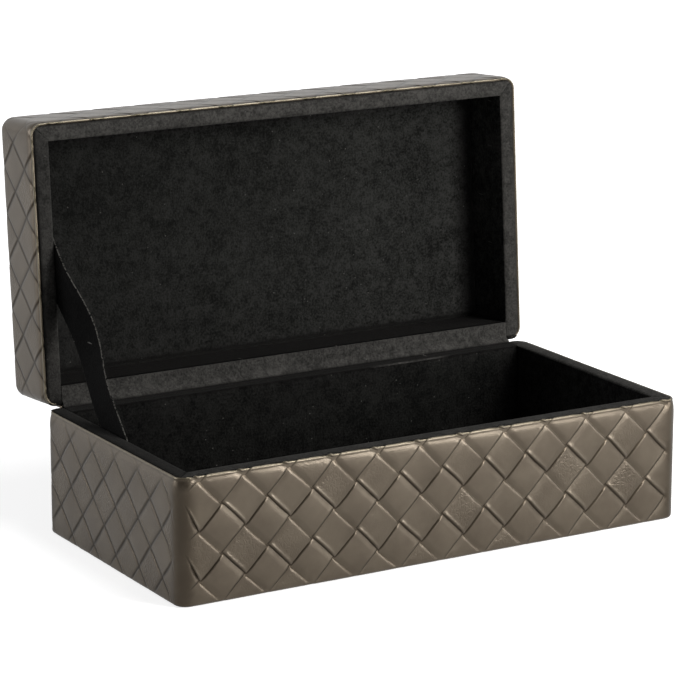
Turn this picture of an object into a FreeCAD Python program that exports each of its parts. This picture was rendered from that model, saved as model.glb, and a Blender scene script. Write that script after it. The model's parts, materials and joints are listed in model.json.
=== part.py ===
import FreeCAD, Part
import math
import os
import re
import Sketcher

# Hinged storage box: boards covered in leather outside and lined with velvet inside.
# The origin is the centre of the underside, +X runs along the box, -Y is its front, +Z is up.
# The lid is drawn shut in a frame on the hinge line, then turned open about that line.

sizes = {
    "box_length": 300.0,
    "box_depth": 150.0,
    "base_height": 67.0,
    "lid_height": 40.0,
    "lid_open_angle": 94.0,
    "joint_gap": 0.4,
    "corner_radius": 7.0,
    "rim_edge_radius": 2.0,
    "foot_edge_radius": 2.0,
    "lid_edge_radius": 6.0,
    "leather_thick": 1.2,
    "hinge_edge_thick": 0.6,
    "glue_line": 0.1,
    "board_thick": 6.0,
    "bottom_board_thick": 5.0,
    "top_board_thick": 5.0,
    "liner_thick": 3.2,
    "turn_in": 3.0,
    "turn_under": 12.0,
    "sheet_proud": 0.3,
    "rim_thick": 1.0,
    "floor_card_thick": 1.5,
    "floor_pad_thick": 2.5,
    "floor_fit": 0.3,
    "panel_card_thick": 1.5,
    "panel_pad_thick": 3.0,
    "panel_fit": 1.0,
    "hinge_strip_thick": 0.8,
    "hinge_strip_reach": 13.0,
    "hinge_cloth_thick": 1.0,
    "stay_width": 22.0,
    "stay_thick": 0.8,
    "stay_base_setback": 58.0,
    "stay_lid_reach": 68.0,
    "stay_lead": 4.0,
    "stay_tab": 20.0,
    "stay_bow": 6.0,
    "stay_end_curve": 77.0,
}

doc = FreeCAD.newDocument("StorageBox")
sheet = doc.addObject("Spreadsheet::Sheet", "Sizes")
for row, (alias, number) in enumerate(sizes.items(), start=1):
    sheet.set(f"A{row}", alias)
    sheet.set(f"B{row}", str(number))
    sheet.setAlias(f"B{row}", alias)
doc.recompute()


def size(alias):
    return float(sheet.get(alias))


def bind(target, prop, text):
    linked = re.sub(r"[a-z_]+", lambda word: "Sizes." + word.group(0), text)
    target.setExpression(prop, linked)


# Distances from the outside of the box to the faces that pieces share
skin = "(leather_thick + glue_line)"
board_in = f"({skin} + board_thick)"
wall = f"({board_in} + liner_thick)"
rim_out = "(turn_in + glue_line)"
core_radius = f"(corner_radius - {skin})"
opening_radius = "(corner_radius - turn_in)"

parts = []
level_tolerance = 0.001
sketch_start = (20, 10)

# Places of the two halves: the base as drawn, the lid turned open about the hinge line
hinge = FreeCAD.Vector(0, size("box_depth") / 2, size("base_height") + size("joint_gap") / 2)
base_place = FreeCAD.Placement()
lid_place = FreeCAD.Placement(hinge, FreeCAD.Rotation(FreeCAD.Vector(1, 0, 0), -size("lid_open_angle")))


def slab(label, low, span, place):
    body = doc.addObject("PartDesign::Body", label)
    body.Label = label
    body.Placement = place
    sketch = body.newObject("Sketcher::SketchObject", label + "_outline")
    ground = [plane for plane in body.Origin.OriginFeatures if plane.Role == "XY_Plane"][0]
    sketch.AttachmentSupport = [(ground, "")]
    sketch.MapMode = "FlatFace"
    wide, deep = sketch_start
    corners = [FreeCAD.Vector(*at, 0) for at in ((0, 0), (wide, 0), (wide, deep), (0, deep))]
    for here, there in zip(corners, corners[1:] + corners[:1]):
        sketch.addGeometry(Part.LineSegment(here, there), False)
    for line in range(4):
        sketch.addConstraint(Sketcher.Constraint("Coincident", line, 2, (line + 1) % 4, 1))
    for line, run in enumerate(("Horizontal", "Vertical", "Horizontal", "Vertical")):
        sketch.addConstraint(Sketcher.Constraint(run, line))
    sketch.addConstraint(Sketcher.Constraint("Coincident", 0, 1, -1, 1))
    across = sketch.addConstraint(Sketcher.Constraint("DistanceX", 0, 1, 0, 2, wide))
    along = sketch.addConstraint(Sketcher.Constraint("DistanceY", 1, 1, 1, 2, deep))
    bind(sketch, f"Constraints[{across}]", span[0])
    bind(sketch, f"Constraints[{along}]", span[1])
    for axis, text in zip("xyz", low):
        bind(sketch, f"AttachmentOffset.Base.{axis}", text)
    pad = body.newObject("PartDesign::Pad", label + "_pad")
    pad.Profile = sketch
    bind(pad, "Length", span[2])
    doc.recompute()
    return body


def round_edges(body, wanted, radius):
    rough = body.Tip
    middle = rough.Shape.BoundBox.Center
    names = [f"Edge{n}" for n, edge in enumerate(rough.Shape.Edges, start=1) if wanted(edge, middle)]
    fillet = body.newObject("PartDesign::Fillet", body.Label + "_round")
    fillet.Base = (rough, names)
    bind(fillet, "Radius", radius)
    body.Tip = fillet
    doc.recompute()


def upright(sides):
    def wanted(edge, middle):
        box = edge.BoundBox
        side = (math.copysign(1, box.Center.x - middle.x), math.copysign(1, box.Center.y - middle.y))
        return box.XLength + box.YLength < level_tolerance and side in sides
    return wanted


def level(end):
    def wanted(edge, middle):
        return edge.BoundBox.ZLength < level_tolerance and (edge.BoundBox.Center.z - middle.z) * end > 0
    return wanted


all_sides = [(-1, -1), (1, -1), (-1, 1), (1, 1)]
front_sides = all_sides[:2]
back_sides = all_sides[2:]


def inset_slab(label, front, inset, low, height, place):
    across = f"box_length - 2 * {inset}"
    along = f"box_depth - 2 * {inset}"
    corner = (f"{inset} - box_length / 2", f"{front} + {inset}", low)
    return slab(label, corner, (across, along, height), place)


def wall_set(kind, half, front, low, height, place, inset, thick, radius=None):
    # Front and back run the whole way along, and the two sides stand between them
    left = f"{inset} - box_length / 2"
    right = f"box_length / 2 - {inset} - {thick}"
    near = f"{front} + {inset}"
    far = f"{front} + box_depth - {inset} - {thick}"
    long_span = (f"box_length - 2 * {inset}", thick, height)
    side_span = (thick, f"box_depth - 2 * {inset} - 2 * {thick}", height)
    pieces = {
        "front": slab(f"{half}_front_{kind}", (left, near, low), long_span, place),
        "back": slab(f"{half}_back_{kind}", (left, far, low), long_span, place),
        "left": slab(f"{half}_left_{kind}", (left, f"{near} + {thick}", low), side_span, place),
        "right": slab(f"{half}_right_{kind}", (right, f"{near} + {thick}", low), side_span, place),
    }
    if radius:
        round_edges(pieces["front"], upright(front_sides), radius)
        round_edges(pieces["back"], upright(back_sides), radius)
    parts.extend(pieces.values())


def rim_set(half, front, low, place):
    # Velvet strips on the rim: the front one runs across, the sides run from it to the back
    radius = f"({opening_radius} - glue_line)"
    deep = f"({wall} - {rim_out})"
    left = f"{rim_out} - box_length / 2"
    right = f"box_length / 2 - {wall}"
    across = (f"box_length - 2 * {rim_out}", deep, "rim_thick")
    along = (deep, f"box_depth - {wall} - {skin}", "rim_thick")
    front_rim = slab(f"{half}_front_rim", (left, f"{front} + {rim_out}", low), across, place)
    left_rim = slab(f"{half}_left_rim", (left, f"{front} + {wall}", low), along, place)
    right_rim = slab(f"{half}_right_rim", (right, f"{front} + {wall}", low), along, place)
    round_edges(front_rim, upright(front_sides), radius)
    round_edges(left_rim, upright([(-1, 1)]), radius)
    round_edges(right_rim, upright([(1, 1)]), radius)
    parts.extend([front_rim, left_rim, right_rim])


def cover(label, block, hollows):
    joined = doc.addObject("Part::MultiFuse", label + "_hollow")
    joined.Shapes = hollows
    cut = doc.addObject("Part::Cut", label)
    cut.Label = label
    cut.Base = block
    cut.Tool = joined
    doc.recompute()
    parts.append(cut)


def rim_opening(label, front, low, height, place):
    # The leather turns in over the rim on three sides, and at the back it is skived thin for the hinge
    corner = ("turn_in - box_length / 2", f"{front} + turn_in", low)
    span = ("box_length - 2 * turn_in", "box_depth - turn_in - hinge_edge_thick", height)
    body = slab(label, corner, span, place)
    round_edges(body, upright(all_sides), opening_radius)
    return body


# Base boards
base_front = "-box_depth / 2"
floor_low = f"(sheet_proud + {skin})"
wall_low = f"({floor_low} + bottom_board_thick)"
base_wall_top = f"(base_height - {skin})"
base_wall_height = f"{base_wall_top} - {wall_low}"

bottom_board = inset_slab("base_bottom_board", base_front, skin, floor_low, "bottom_board_thick", base_place)
round_edges(bottom_board, upright(all_sides), core_radius)
parts.append(bottom_board)
wall_set("board", "base", base_front, wall_low, base_wall_height, base_place, skin, "board_thick", core_radius)

# Base leather: round the four walls, in over the rim and under the bottom board
leather_low = "sheet_proud"
leather_height = "base_height - sheet_proud"
block = inset_slab("base_cover_block", base_front, "0", leather_low, leather_height, base_place)
round_edges(block, upright(all_sides), "corner_radius")
round_edges(block, level(1), "rim_edge_radius")
round_edges(block, level(-1), "foot_edge_radius")
core_height = "base_height - sheet_proud - 2 * leather_thick"
core_low = "sheet_proud + leather_thick"
core = inset_slab("base_cover_core", base_front, "leather_thick", core_low, core_height, base_place)
round_edges(core, upright(all_sides), "corner_radius - leather_thick")
mouth_low = "base_height - 2 * leather_thick"
mouth = rim_opening("base_cover_mouth", base_front, mouth_low, "base_height", base_place)
under = inset_slab("base_cover_under", base_front, "turn_under", "-base_height / 2", "base_height", base_place)
cover("base_leather_cover", block, [core, mouth, under])

# Felt sheet under the base, which stands on the table just below the leather
sheet_inset = "(turn_under + glue_line)"
sheet_thick = "sheet_proud + leather_thick"
parts.append(inset_slab("underside_sheet", base_front, sheet_inset, "0", sheet_thick, base_place))

# Base lining
wall_set("liner", "base", base_front, wall_low, base_wall_height, base_place, board_in, "liner_thick")
floor_inset = f"({wall} + floor_fit)"
parts.append(inset_slab("base_floor_card", base_front, floor_inset, wall_low, "floor_card_thick", base_place))
pad_low = f"{wall_low} + floor_card_thick"
parts.append(inset_slab("base_floor_pad", base_front, floor_inset, pad_low, "floor_pad_thick", base_place))
rim_set("base", base_front, base_wall_top, base_place)

# Lid boards, drawn shut with the hinge line as origin
lid_front = "-box_depth"
lid_low = "(joint_gap / 2)"
lid_wall_low = f"({lid_low} + {skin})"
lid_board_top = f"({lid_low} + lid_height - {skin})"
lid_board_low = f"({lid_board_top} - top_board_thick)"
lid_wall_height = f"{lid_board_low} - {lid_wall_low}"

top_board = inset_slab("lid_top_board", lid_front, skin, lid_board_low, "top_board_thick", lid_place)
round_edges(top_board, upright(all_sides), core_radius)
round_edges(top_board, level(1), f"lid_edge_radius - {skin}")
parts.append(top_board)
wall_set("board", "lid", lid_front, lid_wall_low, lid_wall_height, lid_place, skin, "board_thick", core_radius)

# Lid leather: over the top, down the four walls and in over the rim
lid_block = inset_slab("lid_cover_block", lid_front, "0", lid_low, "lid_height", lid_place)
round_edges(lid_block, upright(all_sides), "corner_radius")
round_edges(lid_block, level(1), "lid_edge_radius")
round_edges(lid_block, level(-1), "rim_edge_radius")
lid_core_low = f"{lid_low} + leather_thick"
lid_core_height = "lid_height - 2 * leather_thick"
lid_core = inset_slab("lid_cover_core", lid_front, "leather_thick", lid_core_low, lid_core_height, lid_place)
round_edges(lid_core, upright(all_sides), "corner_radius - leather_thick")
round_edges(lid_core, level(1), "lid_edge_radius - leather_thick")
lid_mouth_low = f"{lid_low} + 2 * leather_thick - lid_height"
lid_mouth = rim_opening("lid_cover_mouth", lid_front, lid_mouth_low, "lid_height", lid_place)
cover("lid_leather_cover", lid_block, [lid_core, lid_mouth])

# Lid lining
wall_set("liner", "lid", lid_front, lid_wall_low, lid_wall_height, lid_place, board_in, "liner_thick")
panel_inset = f"({wall} + panel_fit)"
card_low = f"({lid_board_low} - panel_card_thick)"
parts.append(inset_slab("lid_panel_card", lid_front, panel_inset, card_low, "panel_card_thick", lid_place))
padding_low = f"{card_low} - panel_pad_thick"
parts.append(inset_slab("lid_panel_pad", lid_front, panel_inset, padding_low, "panel_pad_thick", lid_place))
rim_set("lid", lid_front, f"{lid_wall_low} - rim_thick", lid_place)

# Numbers for the three bent soft pieces, which cross from one half to the other
wall_deep = sum(size(name) for name in ("leather_thick", "glue_line", "board_thick", "liner_thick"))
skin_deep = size("leather_thick") + size("glue_line")
inner_side = size("box_length") / 2 - wall_deep
turn = lid_place.Rotation


def on_base(back, height):
    # A point by its distance in front of the hinge and its height over the hinge
    return hinge + FreeCAD.Vector(0, -back, height)


def on_lid(reach, depth):
    # A point by its distance from the hinge along the lid's rim and its depth into the lid
    return hinge + turn.multVec(FreeCAD.Vector(0, -reach, depth))


def soft_piece(label, shape, place=FreeCAD.Placement()):
    feature = doc.addObject("Part::Feature", label)
    feature.Label = label
    feature.Shape = shape
    feature.Placement = place
    parts.append(feature)


def bent_strip(outline, half_length):
    start = [point - FreeCAD.Vector(half_length, 0, 0) for point in outline]
    face = Part.Face(Part.makePolygon(start + start[:1]))
    return face.extrude(FreeCAD.Vector(2 * half_length, 0, 0))


# Leather hinge strip outside, glued down the back of the base and along the back of the lid
strip_thick = size("hinge_strip_thick")
strip_reach = size("hinge_strip_reach")
bend = on_base(0, 0)
half_fold = math.radians(180 - size("lid_open_angle")) / 2
strip_corner = hinge + FreeCAD.Vector(0, strip_thick, -strip_thick / math.tan(half_fold))
strip_outline = [
    bend,
    on_base(0, -strip_reach),
    on_base(-strip_thick, -strip_reach),
    strip_corner,
    on_lid(-strip_thick, strip_reach),
    on_lid(0, strip_reach),
]
hinge_half_length = size("box_length") / 2 - size("corner_radius") - size("rim_edge_radius")
soft_piece("outer_hinge_strip", bent_strip(strip_outline, hinge_half_length))

# Velvet hinge cloth inside, over both back rims and across the joint between them
half_gap = size("joint_gap") / 2
rim_level = half_gap + skin_deep
cloth_top = rim_level - size("hinge_cloth_thick")
lip_drop = half_gap - size("glue_line") / 2
cloth_outline = [
    on_base(wall_deep, -rim_level),
    on_base(skin_deep, -rim_level),
    on_base(skin_deep, -lip_drop),
    on_lid(skin_deep, lip_drop),
    on_lid(skin_deep, rim_level),
    on_lid(wall_deep, rim_level),
    on_lid(wall_deep, cloth_top),
    on_lid(skin_deep + size("hinge_cloth_thick"), cloth_top),
    on_base(skin_deep + size("hinge_cloth_thick"), -cloth_top),
    on_base(wall_deep, -cloth_top),
]
soft_piece("inner_hinge_cloth", bent_strip(cloth_outline, inner_side - size("glue_line")))

# Ribbon stay on the left: glued flat inside each half, bowed inwards between them
stay_foot = on_base(size("stay_base_setback"), -half_gap)
stay_head = on_lid(size("stay_lid_reach"), half_gap)
stay_run = stay_head - stay_foot
span = stay_run.Length + 2 * size("stay_lead")
bow_angle = 2 * math.atan(2 * size("stay_bow") / span)
bow_radius = span / 2 / math.sin(bow_angle) - size("stay_end_curve")


def stay_edges(offset):
    # One face of the ribbon, as lines and arcs in a plane: along the stay, and inwards
    end_radius = size("stay_end_curve") - offset
    crown_radius = bow_radius + offset
    rise = size("stay_end_curve")

    def end_point(share):
        angle = share * bow_angle
        return end_radius * math.sin(angle), rise - end_radius * math.cos(angle)

    def crown_point(share):
        angle = share * bow_angle
        sag = size("stay_bow") - bow_radius
        return span / 2 + crown_radius * math.sin(angle), sag + crown_radius * math.cos(angle)

    first = [end_point(share) for share in (0, 0.5, 1)]
    crown = [crown_point(share) for share in (-1, 0, 1)]
    last = [(span - along, inward) for along, inward in reversed(first)]
    start = (-size("stay_tab"), offset)
    finish = (span + size("stay_tab"), offset)
    flat = [FreeCAD.Vector(along, inward, 0) for along, inward in (start, *first, *crown[1:], *last[1:], finish)]
    edges = [Part.LineSegment(flat[0], flat[1]).toShape()]
    for begin in (1, 3, 5):
        edges.append(Part.Arc(*flat[begin:begin + 3]).toShape())
    edges.append(Part.LineSegment(flat[7], flat[8]).toShape())
    return flat, edges


near_points, near_edges = stay_edges(0)
far_points, far_edges = stay_edges(size("stay_thick"))
foot_end = Part.LineSegment(far_points[0], near_points[0]).toShape()
head_end = Part.LineSegment(near_points[-1], far_points[-1]).toShape()
stay_outline = Part.Wire(near_edges + [head_end] + far_edges[::-1] + [foot_end])
stay_solid = Part.Face(stay_outline).extrude(FreeCAD.Vector(0, 0, size("stay_width")))
along_stay = stay_run.normalize()
inwards = FreeCAD.Vector(1, 0, 0)
across_stay = along_stay.cross(inwards)
stay_turn = FreeCAD.Rotation(along_stay, inwards, across_stay, "XYZ")
stay_start = stay_foot - along_stay * size("stay_lead") - across_stay * (size("stay_width") / 2)
stay_start += inwards * (size("glue_line") - inner_side)
soft_piece("stay_ribbon", stay_solid, FreeCAD.Placement(stay_start, stay_turn))

doc.recompute()

# Nothing is written unless every object is sound
for item in doc.Objects:
    if "Invalid" in item.State or "Error" in item.State:
        raise RuntimeError(f"{item.Label} did not build: {item.State}")
for piece in parts:
    if piece.Shape.isNull() or not piece.Shape.isValid():
        raise RuntimeError(f"{piece.Label} has no valid shape")

os.makedirs("parts", exist_ok=True)
for piece in parts:
    piece.Shape.exportStep(f"parts/{piece.Label}.step")
    print(f"{piece.Label}: {len(piece.Shape.Solids)} solid, {piece.Shape.Volume:.0f} mm3")
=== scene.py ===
import json
import math
import bpy
import numpy as np
from mathutils import Matrix, Vector


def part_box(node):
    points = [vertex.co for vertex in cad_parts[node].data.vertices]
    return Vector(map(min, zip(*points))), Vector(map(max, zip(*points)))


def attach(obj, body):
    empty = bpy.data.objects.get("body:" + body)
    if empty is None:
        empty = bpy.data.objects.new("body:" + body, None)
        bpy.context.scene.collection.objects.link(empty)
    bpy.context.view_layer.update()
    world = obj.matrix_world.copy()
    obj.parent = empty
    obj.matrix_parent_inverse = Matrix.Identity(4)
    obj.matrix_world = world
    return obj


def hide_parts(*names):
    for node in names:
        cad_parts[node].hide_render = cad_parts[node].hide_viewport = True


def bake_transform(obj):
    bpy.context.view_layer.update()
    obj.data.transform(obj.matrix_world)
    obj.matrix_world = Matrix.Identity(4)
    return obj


# Storage box with a hinged lid: woven leather outside, black velvet inside.
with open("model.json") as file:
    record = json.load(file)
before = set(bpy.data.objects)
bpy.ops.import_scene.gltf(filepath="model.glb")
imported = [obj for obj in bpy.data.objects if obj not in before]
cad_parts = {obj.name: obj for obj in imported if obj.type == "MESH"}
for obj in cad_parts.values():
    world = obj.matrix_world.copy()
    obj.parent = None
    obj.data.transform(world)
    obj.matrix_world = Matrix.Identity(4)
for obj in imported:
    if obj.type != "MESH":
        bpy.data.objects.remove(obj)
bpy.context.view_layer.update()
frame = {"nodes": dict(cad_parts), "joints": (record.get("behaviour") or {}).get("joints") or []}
mm = 0.001
print("frame loaded")

# Sizes read from the frame
baseLow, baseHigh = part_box("base_leather_cover")
hingeJoint = frame["joints"][0]
hinge = Vector(hingeJoint["pos_m"])
openAngle = math.radians(hingeJoint["range_deg"][1])
lidPlace = Matrix.Translation(hinge) @ Matrix.Rotation(-openAngle, 4, "X")  # a shut lid to the open one
places = {"base": Matrix.Identity(4), "lid": lidPlace}

box = dict(
    length=baseHigh.x - baseLow.x,
    depth=baseHigh.y - baseLow.y,
    foot=baseLow.z,              # leather's underside, just over the table
    rim=baseHigh.z,              # top of the base's leather
    lidRim=0.2 * mm,             # lid's leather over the hinge line, shut
    lidTop=40.2 * mm,
    corner=7 * mm,               # upright corners
    rimRound=2 * mm,             # edge round each opening
    footRound=2 * mm,
    lidRound=6 * mm,             # edge round the lid's top
    turnIn=3 * mm,               # leather turned in over the rim
    turnUnder=12 * mm,
    leather=1.2 * mm,
)
toMiddle = {"base": 0, "lid": box["depth"] / 2}  # a lid drawn shut has its hinge line at Y = 0
quarter = math.pi / 2
tiny = 0.001 * mm
fourSides = ((1, 0, 0), (-1, 0, 0), (0, 1, 0), (0, -1, 0))
waveParts = dict(count=7, lengths=(0.7, 1.6))  # of a random swell, with lengths as shares of its size


# Small helpers
def pick(obj):
    bpy.ops.object.select_all(action="DESELECT")
    obj.select_set(True)
    bpy.context.view_layer.objects.active = obj


def named(name):
    obj = bpy.context.object
    obj.name = name
    obj.data.name = name
    return obj


def addGrid(name, cutsX, cutsY, size=2):
    bpy.ops.object.select_all(action="DESELECT")
    bpy.ops.mesh.primitive_grid_add(x_subdivisions=cutsX, y_subdivisions=cutsY, size=size)
    return named(name)


def points(obj):
    co = np.empty(len(obj.data.vertices) * 3, np.float32)
    obj.data.vertices.foreach_get("co", co)
    return co.reshape(-1, 3).astype(float)


def setPoints(obj, co):
    obj.data.vertices.foreach_set("co", np.asarray(co, np.float32).ravel())
    obj.data.update()


def paint(obj, **values):  # what the finishes read at each point
    for name, value in values.items():
        attribute = obj.data.attributes.get(name) or obj.data.attributes.new(name, "FLOAT", "POINT")
        attribute.data.foreach_set("value", value.astype(np.float32))


def applyModifier(obj, kind, **settings):
    pick(obj)
    modifier = obj.modifiers.new(kind.lower(), kind)
    for key, value in settings.items():
        setattr(modifier, key, value)
    bpy.ops.object.modifier_apply(modifier=modifier.name)


def selectPoints(obj, mask):  # leaves the object in edit mode with those points selected
    pick(obj)
    mesh = obj.data
    mesh.polygons.foreach_set("select", np.zeros(len(mesh.polygons), bool))
    mesh.edges.foreach_set("select", np.zeros(len(mesh.edges), bool))
    mesh.vertices.foreach_set("select", mask)
    bpy.ops.object.mode_set(mode="EDIT")
    bpy.ops.mesh.select_mode(type="VERT")


def selectAll(obj):  # leaves the object in edit mode with everything selected
    pick(obj)
    bpy.ops.object.mode_set(mode="EDIT")
    bpy.ops.mesh.select_all(action="SELECT")


def trim(obj, place, outward):  # cuts a sheet at a plane and drops what lies beyond it
    selectAll(obj)
    bpy.ops.mesh.bisect(plane_co=place, plane_no=outward, clear_outer=True, threshold=tiny)
    bpy.ops.object.mode_set(mode="OBJECT")


def bridgeOpenEdges(obj):
    pick(obj)
    bpy.ops.object.mode_set(mode="EDIT")
    bpy.ops.mesh.select_mode(type="EDGE")
    bpy.ops.mesh.select_all(action="DESELECT")
    bpy.ops.mesh.select_non_manifold(
        use_wire=False, use_multi_face=False, use_non_contiguous=False, use_verts=False,
    )
    bpy.ops.mesh.bridge_edge_loops()
    bpy.ops.object.mode_set(mode="OBJECT")


def mergeDoubles(obj, reach):
    selectAll(obj)
    bpy.ops.mesh.remove_doubles(threshold=reach)
    bpy.ops.object.mode_set(mode="OBJECT")


def faceOutwards(obj):
    selectAll(obj)
    bpy.ops.mesh.normals_make_consistent(inside=False)
    bpy.ops.object.mode_set(mode="OBJECT")


def smooth(obj, degrees):
    pick(obj)
    bpy.ops.object.shade_smooth_by_angle(angle=math.radians(degrees))


def nodeBox(node, place):  # a node's lowest and highest corners with its half drawn shut
    back = np.array(place.inverted())
    co = points(frame["nodes"][node]) @ back[:3, :3].T + back[:3, 3]
    return co.min(0), co.max(0)


def waves(x, y, size, seed):  # a gentle random swell from -1 to 1, the same each run
    rng = np.random.default_rng(seed)
    total = np.zeros_like(x)
    for _ in range(waveParts["count"]):
        angle = rng.uniform(0, 2 * math.pi)
        length = size * rng.uniform(*waveParts["lengths"])
        across = x * math.cos(angle) + y * math.sin(angle)
        total += np.sin(2 * math.pi * across / length + rng.uniform(0, 2 * math.pi))
    return total / waveParts["count"]


# Materials
def newMaterial(name):
    material = bpy.data.materials.new(name)
    material.use_nodes = True
    tree = material.node_tree
    return material, tree, tree.nodes["Principled BSDF"]


def addNode(tree, kind, **settings):
    node = tree.nodes.new("ShaderNode" + kind)
    for key, value in settings.items():
        if key in node.inputs:
            node.inputs[key].default_value = value
        else:
            setattr(node, key, value)
    return node


def objectPlace(tree):
    return addNode(tree, "TexCoord").outputs["Object"]


def painted(tree, name):  # a value that paint has put on the piece
    return addNode(tree, "Attribute", attribute_name=name).outputs["Fac"]


def noise(tree, where, scale, detail, roughness=0.6):
    node = addNode(tree, "TexNoise", Scale=scale, Detail=detail, Roughness=roughness)
    tree.links.new(where, node.inputs["Vector"])
    return node.outputs["Fac"]


def ramp(tree, value, ends, colours):
    node = addNode(tree, "ValToRGB")
    for element, at, colour in zip(node.color_ramp.elements, ends, colours):
        element.position = at
        element.color = (*colour, 1)
    tree.links.new(value, node.inputs["Fac"])
    return node.outputs["Color"]


def mixColour(tree, factor, under, over):
    node = addNode(tree, "Mix", data_type="RGBA")
    node.inputs["B"].default_value = (*over, 1)
    tree.links.new(factor, node.inputs["Factor"])
    tree.links.new(under, node.inputs["A"])
    return node.outputs["Result"]


def spread(tree, value, fromEnds, toEnds):
    node = addNode(tree, "MapRange")
    for name, end in zip(("From Min", "From Max", "To Min", "To Max"), (*fromEnds, *toEnds)):
        node.inputs[name].default_value = end
    tree.links.new(value, node.inputs["Value"])
    return node.outputs["Result"]


def math2(tree, operation, a, b):
    node = addNode(tree, "Math", operation=operation)
    for socket, value in zip(node.inputs, (a, b)):
        if isinstance(value, (int, float)):
            socket.default_value = value
        else:
            tree.links.new(value, socket)
    return node.outputs[0]


def bump(tree, height, strength, distance, under=None):
    node = addNode(tree, "Bump", Strength=strength, Distance=distance)
    tree.links.new(height, node.inputs["Height"])
    if under:
        tree.links.new(under, node.inputs["Normal"])
    return node.outputs["Normal"]


leatherLook = dict(
    dark=(0.020, 0.015, 0.010),  # painted shade in the grooves, at the corners and beside the turned edges
    pale=(0.20, 0.18, 0.12),     # painted highlight along the turned edges
    shades=((0.060, 0.0465, 0.0322), (0.082, 0.0660, 0.0470)),
    shadeEnds=(0.3, 0.7),
    cloud=(60, 5),               # scale and detail, as for the next two
    rough=(240, 3),
    pores=(2600, 2),
    metallic=0.6,
    roughness=(0.27, 0.43),
    poreBump=(0.12, 0.2 * mm),   # strength and height
    wrinkleBump=(1.0, 0.35 * mm),
    wrinkle=dict(Scale=480, Randomness=1),
    wrinkleFlat=0.25,            # folds are level further than this from their lines
    swirl=dict(Scale=300, Detail=2),
    swirlReach=3 * mm,           # bends the wrinkles' straight lines
)


def leatherMaterial():
    look = leatherLook
    material, tree, shader = newMaterial("satin_leather")
    link = tree.links.new
    where = objectPlace(tree)
    groove = painted(tree, "groove")
    colour = ramp(tree, noise(tree, where, *look["cloud"]), look["shadeEnds"], look["shades"])
    colour = mixColour(tree, groove, colour, look["dark"])
    link(mixColour(tree, painted(tree, "edge"), colour, look["pale"]), shader.inputs["Base Color"])
    deeper = math2(tree, "MULTIPLY", groove, 1 - look["metallic"])  # painted shade: no white shine in the grooves
    link(math2(tree, "ADD", deeper, look["metallic"]), shader.inputs["Metallic"])
    rough = spread(tree, noise(tree, where, *look["rough"]), (0, 1), look["roughness"])
    link(rough, shader.inputs["Roughness"])
    swirl = addNode(tree, "TexNoise", **look["swirl"])
    link(where, swirl.inputs["Vector"])
    bent = addNode(tree, "VectorMath", operation="MULTIPLY_ADD")
    bent.inputs[1].default_value = [look["swirlReach"]] * 3
    link(swirl.outputs["Color"], bent.inputs[0])
    link(where, bent.inputs[2])
    wrinkle = addNode(tree, "TexVoronoi", feature="DISTANCE_TO_EDGE", **look["wrinkle"])
    link(bent.outputs[0], wrinkle.inputs["Vector"])
    folds = math2(tree, "MINIMUM", wrinkle.outputs["Distance"], look["wrinkleFlat"])
    folds = math2(tree, "MULTIPLY", folds, painted(tree, "grain"))
    pores = bump(tree, noise(tree, where, *look["pores"]), *look["poreBump"])
    link(bump(tree, folds, *look["wrinkleBump"], pores), shader.inputs["Normal"])
    return material


velvetLook = dict(
    pile=(850, 3, 0.65),         # scale, detail and roughness
    pileShare=0.5,
    patches=((210, 0.3), (38, 0.2)),  # scale and share of broader patches in the nap
    patchDetail=3,
    shadeEnds=(0.41, 0.59),
    paintedShadeDark=0.1,                # painted shade mixes towards this share of the dark shade
    # painted highlight in tufts along the ribbon's edges
    edgeGlintColour=(0.04, 0.039, 0.036),
    edgeGlintFrom=0.47,
    lintColour=(0.055, 0.053, 0.05),
    lintScale=300,
    lintWide=0.1,
    lintPlace=dict(Rotation=(0.3, 0.5, 0.7), Scale=(1, 0.13, 1)),  # draws the specks out to threads
    roughness=0.95,
    sheenRoughness=0.45,
    sheenTint=(0.8, 0.78, 0.74, 1),
    pileBump=(0.6, 0.6 * mm),
)
velvets = dict(                  # dark and light shade, gloss, sheen and share of lint
    lining_velvet=((0.006, 0.006, 0.006), (0.034, 0.034, 0.032), 0.02, 0.014, 0.22),
    rim_velvet=((0.0155, 0.0151, 0.0142), (0.048, 0.0465, 0.0433), 0.06, 0.01, 0.12),
    pad_velvet=((0.0030, 0.0030, 0.0028), (0.0225, 0.0225, 0.0212), 0.08, 0.05, 0.12),
    ribbon_velvet=((0.0008, 0.0008, 0.0008), (0.006, 0.006, 0.0057), 0.04, 0.012, 0.1),
)


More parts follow.
